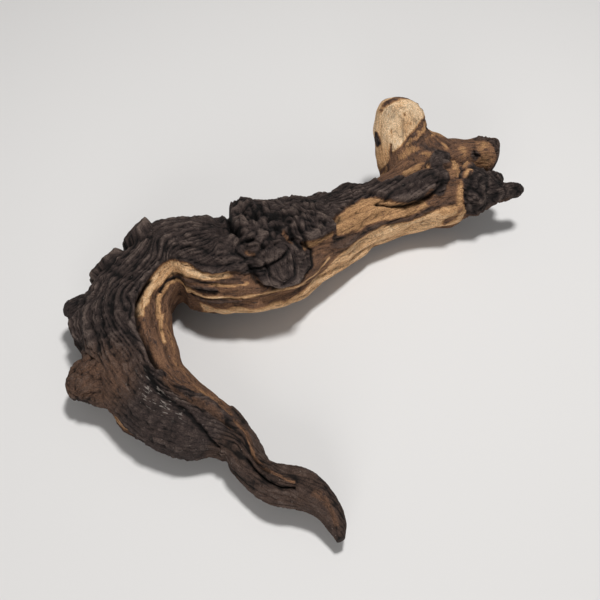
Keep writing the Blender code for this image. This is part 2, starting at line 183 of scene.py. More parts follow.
# Swellings and hollows: centre x, y, z, reach and height (hollows below zero).
SWELLINGS = (
    (-62, 72, 50, 9, -6), (-47, 58, 71, 5, -7), (-37, 46, 72, 5, -6), (-50, 50, 72, 5, -4),
    (-41, 44, 73, 5, 3), (-40, 92, 46, 12, 5), (-10, 92, 44, 12, 4), (16, 106, 40, 9, 4),
    (39, 116, 40, 12, 5), (-105, 74, 40, 9, 3), (-146, 44, 30, 9, -6), (-172, 22, 28, 10, -5),
    (135, 108, 22, 9, 6), (142, 131, 58, 9, 4), (134, 136, 57, 5, -7), (178, 164, 52, 6, 4),
    (168, 170, 50, 6, 4), (160, 146, 46, 6, -4), (70, 150, 74, 7, 5), (-160, -98, 14, 9, -8),
    (-166, -50, 26, 8, -5), (-62, -132, 20, 8, -5),
)

# Strands that run along the body, the coarse unevenness of its skin, and the lumps of the burl
# and folds of the arch. The drift is how slowly those folds wander, along and round.
STRAND_PITCH = 8.0
STRAND_LENGTH = 70.0
STRAND_DEPTH = 5.0
KNOBBLE_SIZE = 15.0
KNOBBLE_HEIGHT = 2.2
BURL_SIZE = 11.0
BURL_HEIGHT = 2.6
ARCH_PITCH = 9.0
ARCH_DEPTH = 2.6
ARCH_DRIFT = (40.0, 50.0)

# Patches of the body with a skin of their own: the rib where each starts and its rise, the rib
# where it ends and its fall, and then the same by angle. The last is worn to a shine, and its
# colour there is painted paler as a painted sheen.
PATCHES = {
    "burl": ((7.0, 1.0, 10.9, 1.0), (20.0, 20.0, 130.0, 20.0)),
    "arch": ((10.8, 1.0, 22.0, 2.0), (-40.0, 30.0, 125.0, 15.0)),
    "smooth": ((18.0, 2.0, 24.5, 2.0), (-60.0, 20.0, 95.0, 20.0)),
    "worn_and_highlit": ((19.6, 0.6, 22.2, 0.6), (55.0, 10.0, 96.0, 10.0)),
}

# The rib past which the tail's folds are shallower.
TAIL_FROM = 24.0

# Relief, large and fine, is full on parts of these half widths and less on slimmer ones.
FULL_HALF_WIDTH = 22.0
FINE_HALF_WIDTH = 14.0
LEAST_RELIEF = 0.1

# Painted shade darkens furrows up to this wide, and wider ones less.
GROOVE_WIDTH = 3.5

# The fine skin: folds in the bark with gaps along them, crumbs of bark, and fibres of bare wood.
# Folds and fibres run from 0 in a crease to 1, and their relief is counted from the crease level.
BARK_THICKNESS = 1.6
FOLD_PITCH = 3.1
FOLD_DEPTH = 2.3
FOLD_GAPS = (FOLD_PITCH, FOLD_PITCH, 16.0)
RING_SHARPNESS = 7.0
CREASE_LEVEL = 0.8
CRUMB_SIZE = 3.2
CRUMB_HEIGHT = 0.8
FIBRE_PITCH = 1.9
FIBRE_LENGTH = 20.0
FIBRE_DEPTH = 0.6

# Curls in the burl. Rings run round a course of (rib, angle) out to a reach; a twist turns the
# strands about a point (rib, angle) by so many degrees at its middle, within a reach.
RING_CURLS = (
    (((9.25, 128), (9.3, 146)), 15.0), (((10.15, 116), (9.75, 122)), 7.0),
)
CURL_PITCH = 4.6
TWISTS = (
    (8.4, 104, 19.0, 130.0), (9.5, 92, 16.0, -110.0), (7.7, 84, 16.0, 90.0),
    (10.6, 104, 10.0, 70.0),
)
CRUMPLE_SIZE = 5.4
CRUMPLE_HEIGHT = 2.4
CRUMPLED_LIMBS = ("dark_burl", "burl_bump", "heel", "blunt_knob")

# Courses of x, y, z that are both shaped and painted.
COURSES = {
    "neck crack": ((110, 131, 58), (100, 118, 60), (87, 113, 58)),
    "swirl line": ((131, 151, 59), (139, 140, 57), (138, 122, 56)),
    "burl crease": ((146, 118, 57), (142, 111, 54), (140, 103, 49), (142, 96, 40), (147, 95, 28)),
    "face pit": ((79, 156, 73), (79, 155, 71)),
    "upper face pit": ((91, 163, 86), (91, 162, 85)),
    "low face crack": ((80, 150, 62), (79, 145, 54)),
}

# Forms at the trunk's right end that the ribs and limbs don't give: a course of x, y, z, with
# its width and how far it stands out (hollows below zero).
FORMS = {
    "ball knot": (((120, 136, 56), (123, 136, 56)), 15.0, 5.0),
    "knot hole": (((127, 136, 62), (127, 135, 57)), 5.0, -5.0),
    "knot knob": (((117, 148, 60), (118, 148, 60)), 7.0, 2.5),
    "lower knot knob": (((111, 140, 61), (112, 140, 61)), 6.0, 2.0),
    "neck crack": (COURSES["neck crack"], 2.6, -2.5),
    "swirl line": (COURSES["swirl line"], 2.4, -1.8),
    "swirl crest": (((126, 151, 59), (134, 141, 56), (134, 124, 56)), 5.0, 1.6),
    "burl ridge": (((139, 113, 51), (136, 104, 47), (138, 96, 38)), 5.5, 2.2),
    "burl crease": (COURSES["burl crease"], 2.6, -2.4),
    "small knob": (((128, 91, 38), (126, 92, 39)), 10.0, 2.8),
    "spot hollow": (((155, 146, 54), (156, 146, 53)), 7.0, -2.2),
    "face pit": (COURSES["face pit"], 3.0, -2.2),
    "upper face pit": (COURSES["upper face pit"], 3.0, -1.8),
    "low face crack": (COURSES["low face crack"], 2.2, -1.2),
}

# Bands of tone: a course of x, y, z, with its width, its edge and its tone, one over another.
BANDS = {
    "end brown": (((112, 97, 49), (126, 97, 45), (132, 110, 52)), 14.0, 1.5, 0.36),
    "neck wood": (((84, 128, 55), (108, 132, 58), (140, 150, 58)), 34.0, 1.5, 0.35),
    "neck tan": (((88, 138, 58), (97, 143, 62), (110, 139, 60)), 7.0, 3.5, 0.62),
    "neck dark": (((112, 151, 64), (109, 143, 63), (98, 138, 60), (86, 131, 55)), 4.0, 3.0, 0.26),
    "low neck tan": (((92, 121, 57), (99, 121, 59), (108, 126, 58)), 9.0, 3.0, 0.68),
    "neck crack": (COURSES["neck crack"], 1.6, 1.5, 0.1),
    "plate edge": (((78, 112, 56), (98, 110, 64), (112, 108, 60)), 6.0, 1.5, 0.08),
    "swirl light": (
        ((121, 153, 60), (131, 146, 59), (136, 136, 54), (134, 124, 56)), 5.0, 3.0, 0.72),
    "swirl line": (COURSES["swirl line"], 2.2, 2.0, 0.24),
    "swirl tan": (((143, 150, 58), (146, 137, 56), (144, 127, 55)), 9.0, 5.0, 0.6),
    "swirl seam": (((146, 152, 59), (149, 142, 57), (149, 134, 56)), 2.4, 2.0, 0.26),
    "ball knot": (((119, 136, 58), (124, 135, 58)), 14.0, 2.0, 0.05),
    "knot foot": (
        ((117, 130, 58), (119, 120, 58), (115, 108, 61), (118, 103, 54)), 12.0, 3.0, 0.1),
    "small knot dark": (((117, 148, 61), (112, 141, 62), (106, 146, 64)), 5.0, 3.0, 0.14),
    "knob dark spot": (((154, 147, 54), (156, 146, 53)), 8.0, 3.0, 0.12),
    "knob light": (((162, 155, 60), (164, 149, 55), (166, 146, 49)), 5.0, 4.0, 0.66),
    "knob rim": (
        ((160, 166, 60), (170, 160, 60), (176, 154, 56), (176, 151, 48),
         (172, 148, 42)), 13.0, 2.5, 0.17),
    "burl ridge": (
        ((145, 119, 56), (140, 113, 51), (136.5, 104, 47), (137, 97, 39),
         (142, 93, 32)), 6.0, 3.0, 0.74),
    "burl underside": (((148, 106, 22), (163, 107, 26), (178, 109, 33)), 14.0, 8.0, 0.24),
    "burl crease": (COURSES["burl crease"], 2.2, 1.5, 0.12),
    "small knob": (((129, 92, 38), (124, 92, 39)), 9.0, 3.0, 0.76),
    "small knob side": (((137, 95, 36), (134, 92, 29), (125, 90, 27)), 5.0, 4.0, 0.36),
    "small knob rim": (((118, 92, 43), (124, 95, 45), (131, 95, 42)), 2.6, 2.0, 0.26),
    "left chip": (((68, 162, 64), (69, 158, 58)), 6.0, 2.0, 0.06),
    "face rim": (
        ((67, 167, 80), (70, 170, 87), (76, 172, 92), (87, 173, 95), (99, 172, 92),
         (107, 169, 85)), 4.2, 2.5, 0.24),
    "face pit": (COURSES["face pit"], 2.6, 1.5, 0.2),
    "upper face pit": (COURSES["upper face pit"], 2.2, 1.5, 0.3),
    "low face crack": (COURSES["low face crack"], 1.8, 1.5, 0.25),
    "heel brown": (((-152, -76, 26), (-136, -80, 30)), 48.0, 24.0, 0.26),
    "heel worn": (((-160, -66, 36), (-148, -74, 38)), 14.0, 8.0, 0.27),
    "heel low edge": (((-172, -78, 14), (-166, -86, 17), (-150, -93, 14)), 9.0, 5.0, 0.1),
}
FORMS_FROM = (60, 80, 0)

# The paddle's bare face ends on a slanting line: a point on it and the way towards the face.
FACE_EDGE = ((88, 147, 61), (-0.75, 0.53, 0.38))

# Bands along that line: tone, where each starts and ends above the line, and its soft edge.
FACE_BANDS = ((0.28, -13.0, -4.5, 3.0), (0.64, -6.5, -1.0, 1.5), (0.3, -2.4, 0.6, 1.0))

# Tones run from 0, near-black bark, to 1, pale wood, and what is darker than the bark's limit has
# its skin too. Each zone is an outline on the body with its tone and the width of its edge, laid
# over the ones before it. Two of them share the line where the arch's bark ends.
BARK_TONE = 0.1
BARK_BELOW = 0.34
BARK_EDGE = 0.12
WOOD_EDGE = (
    (17, 111), (16, 117), (15, 117), (14, 117), (13, 123), (12, 124), (11.5, 131), (11, 133),
)
ZONES = {
    "inner wood": (
        ((19.3, 104), (18.3, 106), *WOOD_EDGE, (10.4, 137), (10.0, 142), (9.8, 156), (9.4, 166),
         (8.9, 166), (8.5, 155), (8.4, 140), (8.5, 124), (8.0, 127), (7.5, 124), (7.3, 110),
         (6.9, 99), (6.5, 96), (6.1, 94), (5.8, 100), (5.5, 116), (5.2, 127), (4.9, 132),
         (4.5, 135), (4.1, 132), (3.7, 126), (3.2, 128), (2.4, 132), (1.6, 140), (0, 150),
         (0, 300), (8, 300), (14, 290), (19, 280), (23, 250), (24, 200), (24, 124), (22, 116),
         (20.5, 110)), 0.36, 2.0),
    "right end": (((-2, 40), (-2, 170), (3.2, 150), (3.2, 90), (2.6, 40)), 0.5, 3.0),
    "arch tan": (
        ((17.6, 110), *WOOD_EDGE, (10.6, 136), (10.5, 142), (11, 143), (12, 144), (13, 143),
         (14, 142), (15, 137), (16, 129), (17, 122), (17.8, 116)), 0.84, 2.0),
    "upper pale field": (
        ((7.45, 108), (6.9, 99), (6.5, 96), (6.1, 94), (5.8, 100), (5.5, 114), (5.2, 126),
         (4.9, 132), (4.5, 135), (4.1, 132), (3.8, 128), (3.7, 140), (4, 148), (4.5, 154),
         (5, 156), (5.5, 152), (6, 144), (6.5, 140), (7.0, 138), (7.5, 134)), 0.7, 1.8),
    "lower tan edge": (
        ((11.6, 184), (10.8, 186), (10, 186), (9.2, 186), (8.6, 182), (8.2, 174), (7.7, 166),
         (7.2, 160), (6.6, 157), (6, 156), (5.4, 164), (5, 168), (4.5, 166), (4, 160), (3.6, 155),
         (3.2, 158), (2.6, 170), (3, 205), (4, 216), (5, 218), (6, 218), (7, 216), (8, 218),
         (9, 218), (10, 216), (11.5, 208)), 0.85, 2.0),
    "patch by the thumb": (
        ((8.6, 124), (8.1, 127), (7.6, 125), (7.6, 131), (8.2, 134), (8.6, 132)), 0.66, 2.0),
    "thin streak": (
        ((7.6, 128), (7.4, 138), (7.0, 141), (6.5, 145), (6.0, 147), (5.5, 152), (5, 158),
         (4.5, 156), (4, 150), (3.6, 142), (3.3, 130), (3.1, 136), (3.5, 148), (4, 157),
         (4.5, 163), (5, 165), (5.5, 160), (6, 153), (6.5, 152), (7, 156), (7.5, 156),
         (7.9, 148)), 0.22, 2.0),
    "tan above the plate": (
        ((5.2, 20), (5.2, 76), (4.8, 80), (4.5, 88), (4.1, 93), (3.9, 90), (3.9, 50),
         (4.2, 10)), 0.35, 2.5),
    "tail": (
        ((32, -90), (24.5, -90), (23, -20), (23.2, 40), (23.6, 90), (22.8, 150), (24, 270),
         (32, 270)), 0.17, 5.0),
    "leg under": (((24, 200), (14, 250), (14, 300), (24, 320)), 0.3, 8.0),
    "orange sliver": (
        ((19.6, -12), (20.1, -17), (20.8, -10), (20.7, 0), (20.3, 8), (19.9, 5),
         (19.6, -4)), 0.74, 2.5),
}

# Streaks are courses on the body with their width and tone.
STREAKS = {
    "inner tan": (
        ((19, 140), (18.3, 142), (17, 142), (16, 144), (15, 147), (14, 152), (13.3, 156),
         (12.8, 159), (12, 164)), 3.6, 0.76),
    "layer dark": (((14.2, 143), (13, 146), (12, 147), (11, 146), (10.4, 144)), 4.0, 0.26),
    "inner dark": (
        ((15.6, 142), (14.6, 142), (14, 145), (13.3, 149), (12.8, 152.5), (12, 156.5),
         (11, 157)), 2.6, 0.14),
    "third tan": (((11.2, 151), (10.6, 151), (10.2, 150)), 2.4, 0.7),
    "fourth tan": (
        ((12.8, 160), (12, 164), (11, 165), (10, 167), (9.4, 172), (8.8, 173), (8.4, 168),
         (8.0, 160)), 3.2, 0.84),
    "below dark": (((13.2, 164), (12.4, 169), (11.6, 171), (10.4, 170)), 2.4, 0.2),
    "low brown": (
        ((11.6, 177), (10.6, 178), (9.8, 178), (9, 179), (8.5, 176), (8, 168),
         (7.6, 162)), 3.0, 0.4),
    "leg tan": (((17.6, 154), (19, 152), (20, 146), (21, 140), (22, 134), (23, 130)), 4.5, 0.5),
    "leg brown": (((20.5, 104), (21.5, 100), (22.5, 104), (23.4, 100)), 5.0, 0.3),
    "tail tan": (
        ((23.4, 120), (24.2, 119), (25, 111), (25.8, 100), (26.4, 92), (27, 88),
         (27.8, 84)), 2.4, 0.4),
    "tail light": (((29, 80), (30, 80), (31, 84)), 4.0, 0.3),
    "burl eye": (((10.05, 118), (9.9, 121)), 3.0, 0.45),
    "burl patch": (((8.95, 108), (8.85, 118)), 4.0, 0.42),
}


def noise(points, seed):
    """Smooth noise from -1 to 1: one value at each whole-number corner, blended between them."""
    corner = np.floor(points).astype(np.int64)
    part = points - corner
    part = part * part * (3.0 - 2.0 * part)
    total = np.zeros(points.shape[:-1])
    for step in np.ndindex(2, 2, 2):
        cell = corner + step
        mixed = cell[..., 0] * 374761393 + cell[..., 1] * 668265263 + cell[..., 2] * 40503
        mixed = (mixed + seed * 69069) & 0xFFFFFFFF
        mixed = ((mixed ^ (mixed >> 13)) * 1274126177) & 0xFFFFFFFF
        mixed = (mixed ^ (mixed >> 16)) & 0xFFFFFFFF
        weight = np.prod(np.where(step, part, 1.0 - part), axis=-1)
        total += weight * (mixed / 2.0**31 - 1.0)
    return total


def through(rows, count):
    """Rows read off a smooth curve that passes through every given row (Catmull-Rom)."""
    rows = np.asarray(rows, float)
    padded = np.vstack([2 * rows[0] - rows[1], rows, 2 * rows[-1] - rows[-2]])
    at = np.linspace(0.0, len(rows) - 1.0, count)
    first = np.minimum(at.astype(int), len(rows) - 2)
    t = (at - first)[:, None]
    a, b, c, d = (padded[first + k] for k in range(4))
    return 0.5 * (2 * b + (c - a) * t + (2 * a - 5 * b + 4 * c - d) * t**2
                  + (3 * b - a - 3 * c + d) * t**3)


def unit(vectors):
    """The same directions, one unit long."""
    return vectors / np.linalg.norm(vectors, axis=-1, keepdims=True)


def ease(share):
    """A soft step: 0 below 0, 1 above 1, and an even curve between."""
    share = np.clip(share, 0.0, 1.0)
    return share * share * (3.0 - 2.0 * share)


def mix(first, second, share):
    """The first value where the share is 0 and the second where it is 1."""
    return first + (second - first) * share


def distance_to(course, place):
    """How far each place lies from a course of straight stretches."""
    best = np.full(place.shape[:-1], np.inf)
    for start, end in zip(course[:-1], course[1:]):
        step = end - start
        share = np.clip(((place - start) @ step) / (step @ step), 0.0, 1.0)
        best = np.minimum(best, np.linalg.norm(place - start - share[..., None] * step, axis=-1))
    return best


def is_inside(outline, place):
    """Whether each place lies inside a closed outline: it is left of an odd number of sides."""
    inside = np.zeros(place.shape[:-1], bool)
    for start, end in zip(outline, np.roll(outline, -1, axis=0)):
        spans = (start[1] > place[..., 1]) != (end[1] > place[..., 1])
        rise = end[1] - start[1] if end[1] != start[1] else 1.0
        meets = start[0] + (place[..., 1] - start[1]) / rise * (end[0] - start[0])
        inside ^= spans & (place[..., 0] < meets)
    return inside


def path_length(points):
    """How far along a path each of its points lies."""
    steps = np.linalg.norm(np.diff(points, axis=0), axis=1)
    return np.concatenate([[0.0], np.cumsum(steps)])


def bell(gap, width):
    """1 where the gap is nothing, falling as a bell that is about so wide across."""
    return np.exp(-((2.0 * gap / width) ** 2))


class Tube:
    """A limb or the body before its skin: rings on a path, with the two half axes of each ring."""

    def __init__(self, centre, wide, high, angles):
        self.centre, self.wide, self.high = centre, wide, high
        self.count, self.sides = len(centre), len(angles)
        self.length = path_length(centre)
        turn = np.radians(angles)
        out = (np.cos(turn)[None, :, None] * wide[:, None]
               + np.sin(turn)[None, :, None] * high[:, None])
        self.points = centre[:, None] + out
        self.outward = unit(out)
        whole = np.ones((self.count, self.sides))
        self.angle = angles[None, :] * whole
        reach = (np.linalg.norm(wide, axis=1) + np.linalg.norm(high, axis=1)) / 2.0
        self.reach = reach[:, None] * whole
        self.along = self.length[:, None] * whole
        self.turned = turned_place(self.along, np.radians(self.angle), self.reach)

    def gap_from(self, points):
        """About how far each point lies outside this tube, below zero inside it.

        The nearest ring is found first, and then the point's share of the ring's radius there.
        """
        best = np.full(points.shape[:-1], np.inf)
        gap = np.full(points.shape[:-1], np.inf)
        ahead = unit(np.gradient(self.centre, axis=0))
        size = np.linalg.norm(self.wide, axis=1), np.linalg.norm(self.high, axis=1)
        for k in range(0, self.count, max(1, self.count // GAP_RINGS)):
            apart = points - self.centre[k]
            across = apart @ self.wide[k] / size[0][k] ** 2
            upward = apart @ self.high[k] / size[1][k] ** 2
            share = np.hypot(across, upward) + 1e-6
            out = (share - 1.0) * np.hypot(across * size[0][k], upward * size[1][k]) / share
            square = np.maximum(out, 0.0) ** 2 + (apart @ ahead[k]) ** 2
            closer = square < best
            best = np.where(closer, square, best)
            gap = np.where(closer, np.where(out > 0, np.sqrt(square), out), gap)
        return gap


def turned_place(along, turn, reach):
    """A place for patterns that has no seam: round the limb as a circle, and along it."""
    return np.stack([np.cos(turn) * reach, np.sin(turn) * reach, along], axis=-1)


def even_rows(rows, count):
    """Rows off the smooth curve at even steps of its length, and the row number of each."""
    dense = through(rows, 40 * len(rows))
    number = np.linspace(0.0, len(rows) - 1.0, len(dense))
    length = path_length(dense[:, :3])
    wanted = np.linspace(0.0, length[-1], count)
    even = np.stack([np.interp(wanted, length, column) for column in dense.T], axis=-1)
    return even, np.interp(wanted, length, number)


def body_tube():
    """The body: its ribs stand upright, so one half axis is level and the other is +Z."""
    rows, rib = even_rows(BODY, BODY_RINGS)
    heading = np.radians(rows[:, 5])
    level = np.stack([np.cos(heading), np.sin(heading), np.zeros(BODY_RINGS)], axis=-1)
    angles = np.linspace(-90.0, 270.0, BODY_SIDES, endpoint=False)
    upright = np.array([0.0, 0.0, 1.0]) * rows[:, 4:5]
    return Tube(rows[:, :3], level * rows[:, 3:4], upright, angles), rib


def limb_tube(name):
    """A limb: its rings stand square to its path, with the broad face turned the given way."""
    rings, face = LIMBS[name]
    rows = through(rings, LIMB_RINGS)
    ahead = unit(np.gradient(rows[:, :3], axis=0))
    sideways = unit(np.cross(ahead, np.asarray(face, float)))
    square = np.cross(sideways, ahead)
    angles = np.linspace(0.0, 360.0, LIMB_SIDES, endpoint=False)
    return Tube(rows[:, :3], sideways * rows[:, 3:4], square * rows[:, 4:5], angles)


def filleted(tube, others):
    """The tube's points, moved out where another tube comes near, so that the two grow together.

    The move is a quarter of the fillet's size at the meeting line and falls to nothing, as the
    square of the share left, one fillet away from it.
    """
    points = tube.points.copy()
    for other in others:
        low = other.points.reshape(-1, 3).min(axis=0) - FILLET
        high = other.points.reshape(-1, 3).max(axis=0) + FILLET
        near = ((tube.points > low) & (tube.points < high)).all(axis=-1)
        if near.any():
            share = np.clip(1.0 - np.abs(other.gap_from(tube.points[near])) / FILLET, 0.0, 1.0)
            points[near] += tube.outward[near] * (0.25 * FILLET * share**2)[:, None]
    return points


def strands(turned, pitch, length, seed):
    """Folded noise that is long along a limb and narrow round it, from about -0.3 to 0.7."""
    drift = noise(turned / (40.0, 40.0, 45.0), seed) * 0.6 * STRAND_PITCH / pitch
    place = turned / (pitch, pitch, length) + np.stack([drift, -drift, 0 * drift], axis=-1)
    return np.abs(noise(place, seed + 1)) - 0.3


def creases(turned, pitch, length, seed, sharpness=7.0):
    """1 on smooth strands and 0 in the narrow creases between them."""
    return 1.0 - np.exp(-sharpness * np.abs(strands(turned, pitch, length, seed) + 0.3))


def swellings(points):
    """The height that the swellings and hollows add at each point."""
    height = np.zeros(points.shape[:-1])
    for x, y, z, size, lift in SWELLINGS:
        height += lift * bell(np.linalg.norm(points - (x, y, z), axis=-1), 2.0 * size)
    return height


def forms(points):
    """The height that the forms of the right end add: a bell across each course."""
    height = np.zeros(points.shape[:-1])
    near = (points > FORMS_FROM).all(axis=-1)
    for course, width, lift in FORMS.values():
        gap = distance_to(np.asarray(course, float), points[near])
        height[near] += lift * bell(gap, width)
    return height


def banded(tone, points):
    """The tone with every band laid over it, each with a ragged edge."""
    sway = 1.4 * noise(points / 7.0, 51) + 0.7 * noise(points / 2.6, 52)
    for course, width, edge, value in BANDS.values():
        gap = distance_to(np.asarray(course, float), points) + sway * min(1.0, width / 5.0)
        tone = mix(tone, value, ease((0.5 * width - gap) / edge + 0.5))
    return tone


class Sheet:
    """The body's skin unrolled flat, in millimetres, for outlines and courses of (rib, angle)."""

    def __init__(self, tube, rib):
        self.rib, self.tube = rib, tube
        self.sway = (1.5 * noise(tube.turned / (9.0, 9.0, 22.0), 31)
                     + 0.8 * noise(tube.turned / (3.5, 3.5, 8.0), 32)
                     + 0.4 * noise(tube.turned / (1.6, 1.6, 3.0), 33))

    def laid(self, points, swayed):
        """The points' places and the skin's own, both on the unrolled sheet."""
        points = np.asarray(points, float)
        middle = np.interp(points[:, 0].mean(), self.rib, self.tube.reach[:, 0])
        around = np.radians(self.tube.angle) * middle + (self.sway if swayed else 0.0)
        place = np.stack([self.tube.along, around], axis=-1)
        course = np.stack([np.interp(points[:, 0], self.rib, self.tube.length),
                           np.radians(points[:, 1]) * middle], axis=-1)
        return course, place

    def island(self, outline, edge):
        """1 inside an outline and 0 outside it, with a soft, ragged edge of the given width."""
        course, place = self.laid(outline, True)
        gap = distance_to(np.vstack([course, course[:1]]), place)
        return ease(np.where(is_inside(course, place), gap, -gap) / edge + 0.5)

    def line(self, course, width, swayed=False):
        """1 on a course and 0 away from it, as a bell of the given width."""
        course, place = self.laid(course, swayed)
        return bell(distance_to(course, place), width)

    def twisted(self):
        """The place along and the turn round with every twist applied: each is a turn of the sheet
        about a point, which dies away."""
        along, turn = self.tube.along.copy(), np.radians(self.tube.angle)
        for rib, angle, size, degrees in TWISTS:
            reach = np.interp(rib, self.rib, self.tube.reach[:, 0])
            step = along - np.interp(rib, self.rib, self.tube.length)
            side = (turn - math.radians(angle)) * reach
            spin = math.radians(degrees) * ease(1.0 - np.hypot(step, side) / size)
            along = along + step * (np.cos(spin) - 1) - side * np.sin(spin)
            turn = turn + (side * (np.cos(spin) - 1) + step * np.sin(spin)) / reach
        return along, turn

    def rings(self):
        """How far each point lies from the nearest ring curl, and how much the rings rule it."""
        phase = np.zeros(self.tube.angle.shape)
        rule = np.zeros(self.tube.angle.shape)
        for course, size in RING_CURLS:
            course, place = self.laid(course, False)
            gap = distance_to(course, place)
            share = ease(2.6 * (1.0 - gap / size))
            phase = np.where(share > rule, gap, phase)
            rule = np.maximum(rule, share)
        return phase, rule


def fold_phase(along, across, points, seed):
    """A count of bark folds: the way across the grain in steps of the fold pitch, wandering
    slowly along the grain so that the folds bend, merge and part."""
    flat = np.stack([along, across, 0 * across], axis=-1)
    wander = (1.3 * noise(flat / (42.0, 15.0, 1.0), seed)
              + 0.45 * noise(flat / (16.0, 6.0, 1.0), seed + 1))
    return across / FOLD_PITCH + wander + 0.2 * noise(points / 4.0, seed + 2)


def folded(phase):
    """A wave that is 0 at each whole count and rises to 1 midway between."""
    return np.abs(np.sin(math.pi * phase))


def fold_lines(phase, sharpness=3.6):
    """1 on the folds and 0 in the narrow creases between them."""
    return 1.0 - np.exp(-sharpness * folded(phase))


def crumpled(points):
    """Crumpled bark: rounded lumps, about 0.3 high, with sharp creases between them, 0.7 deep."""
    place = points + 3.0 * noise(points / 9.0, 43)[..., None]
    lump = np.abs(noise(place / CRUMPLE_SIZE, 44))
    lump = np.minimum(lump, 0.2 + np.abs(noise(place / (0.5 * CRUMPLE_SIZE), 48)))
    return 0.3 - np.exp(-6.5 * lump)


def fold_crests(phase, points):
    """Fold tops for wear and painted highlight: up to 1 along each fold's middle, with gaps."""
    return ease((folded(phase) - 0.7) / 0.3) * ease(0.3 + 1.6 * noise(points / 4.0, 47))


def window(value, start, end, edge):
    """1 between two values and 0 outside them, with soft edges of the given width inside."""
    return ease((value - start) / edge) * ease((end - value) / edge)


def patch(name, rib, turn):
    """1 on a patch of the body and 0 off it: a soft step at each of its four sides."""
    share = 1.0
    for value, (start, rise, end, fall) in zip((rib, turn), PATCHES[name]):
        share = share * ease((value - start) / rise) * ease((end - value) / fall)
    return share


def arch_folds(tube):
    """Broad folds over the arch: a folded sine across the grain that wanders along it."""
    along, turn = tube.along / ARCH_DRIFT[0], tube.angle / ARCH_DRIFT[1]
    drift = noise(np.stack([along, turn, 0 * along], axis=-1), 7)
    across = np.radians(tube.angle) * tube.reach
    return folded(across / ARCH_PITCH + 1.3 * drift) - 0.6


def bark_share(tone):
    """1 where the tone is the bark's and 0 where it is bare wood's, with a soft step between."""
    return ease((BARK_BELOW - tone) / BARK_EDGE)


def thinned(reach, full):
    """The share of its relief that a part keeps: its half width as a share of a full one."""
    return np.clip(reach / full, LEAST_RELIEF, 1.0)


def crumbs(points):
    """Crumbs of bark: noise at one size, and half as much at half the size."""
    return noise(points / CRUMB_SIZE, 13) + 0.5 * noise(points / (0.5 * CRUMB_SIZE), 14)


def fine_relief(bark, folds, crumb, crumple, fibre):
    """The height of the fine skin: folds, crumbs and crumple in the bark, fibres in the wood."""
    in_bark = FOLD_DEPTH * folds + CRUMB_HEIGHT * crumb + CRUMPLE_HEIGHT * crumple
    return bark * in_bark + (1.0 - bark) * FIBRE_DEPTH * fibre


def body_tone(sheet, tube):
    """The body's tone: bark, with the zones, the streaks and the bands laid over it in turn."""
    tone = np.full(tube.angle.shape, BARK_TONE)
    for outline, value, edge in ZONES.values():
        tone = mix(tone, value, sheet.island(outline, edge))
    for course, width, value in STREAKS.values():
        tone = mix(tone, value, ease(1.2 * sheet.line(course, width, True)))
    return banded(tone, tube.points)


def body_forms(sheet, tube, burl, arch, smooth):
    """The body's large relief, and how much it is a furrow, 1 along the middle of each.

    The relief is strands, folds of the arch, knobbles, burl, islands, furrows, swellings and the
    forms of the right end. It is the solid's, but calmer on the leg's worn side, and with more
    furrows and forms.
    """
    quiet = (1.0 - 0.7 * np.maximum(burl, arch)) * (1.0 - 0.75 * smooth)
    height = thinned(tube.reach, FULL_HALF_WIDTH) * (
        ARCH_DEPTH * arch * arch_folds(tube) * (1.0 - 0.6 * smooth)
        + STRAND_DEPTH * strands(tube.turned, STRAND_PITCH, STRAND_LENGTH, 2) * quiet
        + KNOBBLE_HEIGHT * noise(tube.points / KNOBBLE_SIZE, 4)
        + BURL_HEIGHT * burl * (1.0 - 2.2 * np.abs(noise(tube.points / BURL_SIZE, 5)))
    )
    for outline, lift, edge in ISLANDS.values():
        height = height + lift * sheet.island(outline, edge)
    groove = np.zeros(height.shape)
    for course, width, depth in FURROWS.values():
        line = sheet.line(course, width)
        height = height - depth * line
        groove = np.maximum(groove, line * min(1.0, GROOVE_WIDTH / width))
    return height + swellings(tube.points) + forms(tube.points), groove


